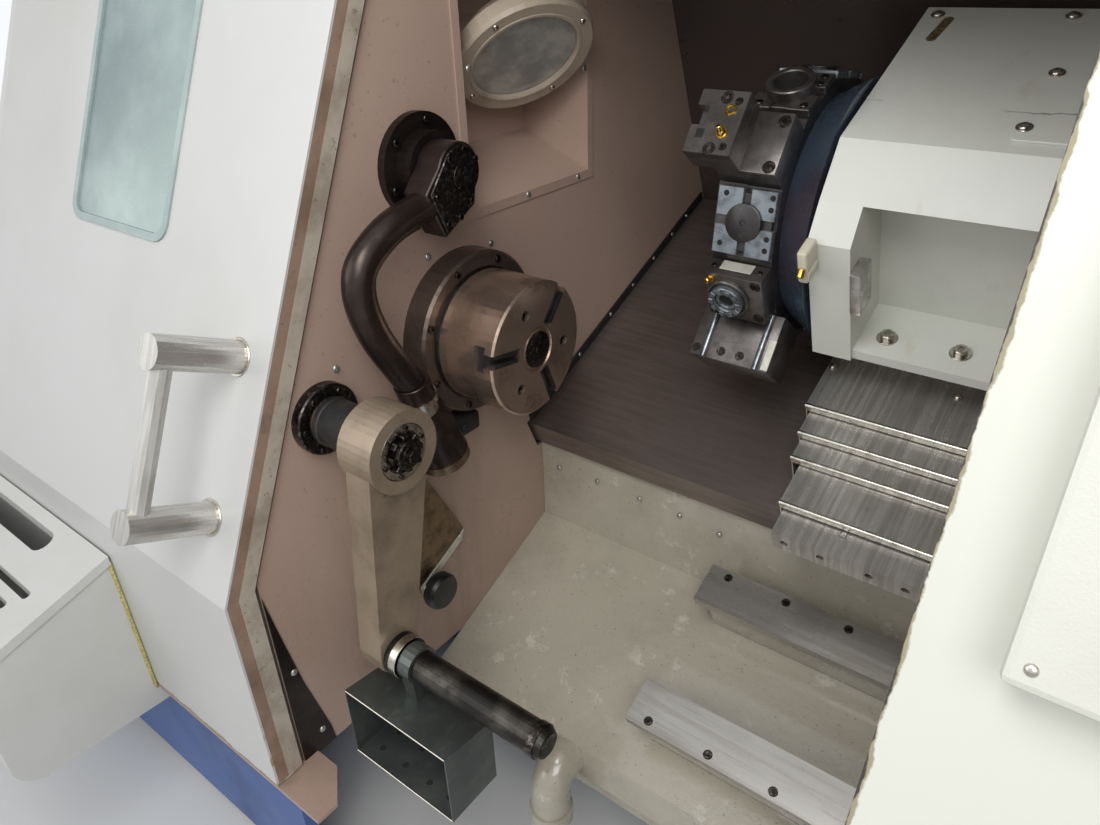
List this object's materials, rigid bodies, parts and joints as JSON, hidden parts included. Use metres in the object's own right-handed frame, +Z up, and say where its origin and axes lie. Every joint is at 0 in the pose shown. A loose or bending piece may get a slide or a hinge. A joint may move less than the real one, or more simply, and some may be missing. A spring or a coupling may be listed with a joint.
{
  "type": "cnc turning lathe",
  "caption": "Slant-bed turning lathe with sliding door, jaw chuck, tool turret, swing-down tool setter, parts catcher and telescopic way covers.",
  "frame": {"origin": "centre of the footprint at the floor", "axes": "+X from the headstock to the right end along the spindle, +Y to the back, +Z up"},
  "size_m": [2.4, 1.85, 1.68],
  "materials": {
    "enclosure_paint": "satin white enamel, wiped, with small scuffs",
    "door_paint": "satin white enamel",
    "base_paint": "blue machine enamel",
    "cream_paint": "wet cream enamel, stained",
    "wall_paint": "tan enamel, oily",
    "housing_paint": "off-white enamel with hairline cracks",
    "casting": "machined casting, oily",
    "ground_steel": "ground steel with an oil film",
    "brushed_cover": "brushed sheet steel",
    "dark_steel": "black oxide steel, oily",
    "blued_steel": "blued steel",
    "chuck_steel": "hardened ground steel",
    "handle_chrome": "brushed stainless",
    "black_rubber": "matt black profile rubber",
    "window_glass": "laminated safety glass, frosted by coolant",
    "lens_glass": "frosted lamp glass",
    "motor_black": "black enamel",
    "panel_grey": "grey textured paint",
    "button_red": "red moulded plastic",
    "button_green": "green moulded plastic",
    "knob_black": "black moulded plastic"
  },
  "bodies": {
    "machine": {"base_frame": "base_paint", "bed_casting": "cream_paint", "chip_pan": "cream_paint", "drain_elbow": "cream_paint", "front_sill": "wall_paint", "headstock_wall": "wall_paint", "end_wall": "wall_paint", "rear_wall": "wall_paint", "lamp_recess": "wall_paint", "roof_panel": "enclosure_paint", "left_cover": "enclosure_paint", "right_cover": "enclosure_paint", "electrical_cabinet": "enclosure_paint", "door_rail": "enclosure_paint", "shelf_box": "enclosure_paint", "shelf_lid": "enclosure_paint", "headstock_casting": "casting", "nose_ring": "dark_steel", "front_bearing": "ground_steel", "motor_stator": "dark_steel", "work_lamp": "cream_paint", "lamp_lens": "lens_glass", "rail_back": "ground_steel", "rail_front": "ground_steel", "z_motor": "motor_black", "control_cabinet": "panel_grey", "setter_base": "dark_steel"},
    "door": {"door_panel": "door_paint", "window_gasket": "black_rubber", "door_window": "window_glass", "door_handle": "handle_chrome"},
    "spindle": {"spindle_shaft": "ground_steel", "chuck_body": "chuck_steel", "chuck_cylinder": "dark_steel"},
    "jaw_1": {"master_jaw_1": "dark_steel"},
    "jaw_2": {"master_jaw_2": "dark_steel"},
    "jaw_3": {"master_jaw_3": "dark_steel"},
    "saddle": {"saddle": "brushed_cover", "left_way_cover": "brushed_cover", "right_way_cover": "brushed_cover"},
    "cross_slide": {"cross_slide": "casting", "x_cover_1": "brushed_cover", "turret_housing": "housing_paint"},
    "cover_2": {"x_cover_2": "brushed_cover"},
    "cover_3": {"x_cover_3": "brushed_cover"},
    "turret": {"turret_head": "dark_steel", "turret_disc": "blued_steel", "boring_holder": "dark_steel", "turning_holder": "dark_steel", "drill_holder": "dark_steel", "grooving_holder": "dark_steel"},
    "tool_setter": {"setter_arm": "dark_steel"},
    "parts_catcher": {"catcher_arm": "casting", "catcher_rod": "ground_steel"},
    "bucket": {"bucket": "dark_steel"},
    "z_screw": {"z_screw": "ground_steel"},
    "x_screw": {"x_screw": "ground_steel"},
    "emergency_stop": {"emergency_stop": "button_red"},
    "cycle_start": {"cycle_start": "button_green"},
    "feed_override": {"feed_override": "knob_black"}
  },
  "joints": [
    {"name": "door_slide", "type": "slide", "parent": "machine", "child": "door", "axis": [1, 0, 0], "range_m": [0, 0.7825]},
    {"name": "spindle_turn", "type": "hinge", "parent": "machine", "child": "spindle", "pos_m": [-0.05, -0.18, 1], "axis": [1, 0, 0], "continuous": true},
    {"name": "jaw_1_slide", "type": "slide", "parent": "spindle", "child": "jaw_1", "axis": [0, 0.6293, 0.7771], "range_m": [-0.004, 0]},
    {"name": "jaw_2_slide", "type": "slide", "parent": "spindle", "child": "jaw_2", "axis": [0, -0.9877, 0.1564], "range_m": [-0.004, 0]},
    {"name": "jaw_3_slide", "type": "slide", "parent": "spindle", "child": "jaw_3", "axis": [0, 0.3584, -0.9336], "range_m": [-0.004, 0]},
    {"name": "saddle_slide", "type": "slide", "parent": "machine", "child": "saddle", "axis": [1, 0, 0], "range_m": [-0.16, 0.14]},
    {"name": "cross_slide_feed", "type": "slide", "parent": "saddle", "child": "cross_slide", "axis": [0, 0.9171, 0.3987], "range_m": [-0.17, 0.02]},
    {"name": "cover_2_slide", "type": "slide", "parent": "saddle", "child": "cover_2", "axis": [0, 0.9171, 0.3987], "range_m": [-0.1134, 0.0134]},
    {"name": "cover_3_slide", "type": "slide", "parent": "saddle", "child": "cover_3", "axis": [0, 0.9171, 0.3987], "range_m": [-0.0568, 0.0068]},
    {"name": "turret_index", "type": "hinge", "parent": "cross_slide", "child": "turret", "pos_m": [0.18, 0.19599, 1.16349], "axis": [1, 0, 0], "continuous": true},
    {"name": "setter_swing", "type": "hinge", "parent": "machine", "child": "tool_setter", "pos_m": [-0.16, -0.242, 1.268], "axis": [1, 0, 0], "range_deg": [-12, 0]},
    {"name": "catcher_swing", "type": "hinge", "parent": "machine", "child": "parts_catcher", "pos_m": [-0.07, -0.47, 0.97], "axis": [1, 0, 0], "range_deg": [0, 50]},
    {"name": "bucket_tilt", "type": "hinge", "parent": "parts_catcher", "child": "bucket", "pos_m": [0.04, -0.521, 0.655], "axis": [1, 0, 0], "range_deg": [-70, 0]},
    {"name": "z_screw_turn", "type": "hinge", "parent": "machine", "child": "z_screw", "pos_m": [0.25, 0.31004, 0.82597], "axis": [1, 0, 0], "range_deg": [-5762, 5042]},
    {"name": "x_screw_turn", "type": "hinge", "parent": "saddle", "child": "x_screw", "pos_m": [0.41, 0.1974, 0.8844], "axis": [0, 0.9171, 0.3987], "range_deg": [-7652, 902]},
    {"name": "emergency_stop_press", "type": "slide", "parent": "machine", "child": "emergency_stop", "axis": [0, 0.9063, -0.4226], "range_m": [0, 0.005], "stiffness_N_per_m": 600},
    {"name": "cycle_start_press", "type": "slide", "parent": "machine", "child": "cycle_start", "axis": [0, 0.9063, -0.4226], "range_m": [0, 0.003], "stiffness_N_per_m": 400},
    {"name": "feed_override_turn", "type": "hinge", "parent": "machine", "child": "feed_override", "pos_m": [0.94, -0.54782, 1.17578], "axis": [0, 0.9063, -0.4226], "range_deg": [-135, 135]}
  ],
  "couplings": [
    {"joint": "jaw_2_slide", "follows": "jaw_1_slide", "ratio": 1},
    {"joint": "jaw_3_slide", "follows": "jaw_1_slide", "ratio": 1},
    {"joint": "cover_2_slide", "follows": "cross_slide_feed", "ratio": 0.6667},
    {"joint": "cover_3_slide", "follows": "cross_slide_feed", "ratio": 0.3333},
    {"joint": "z_screw_turn", "follows": "saddle_slide", "rad_per_m": 628.32},
    {"joint": "x_screw_turn", "follows": "cross_slide_feed", "rad_per_m": 785.4}
  ]
}
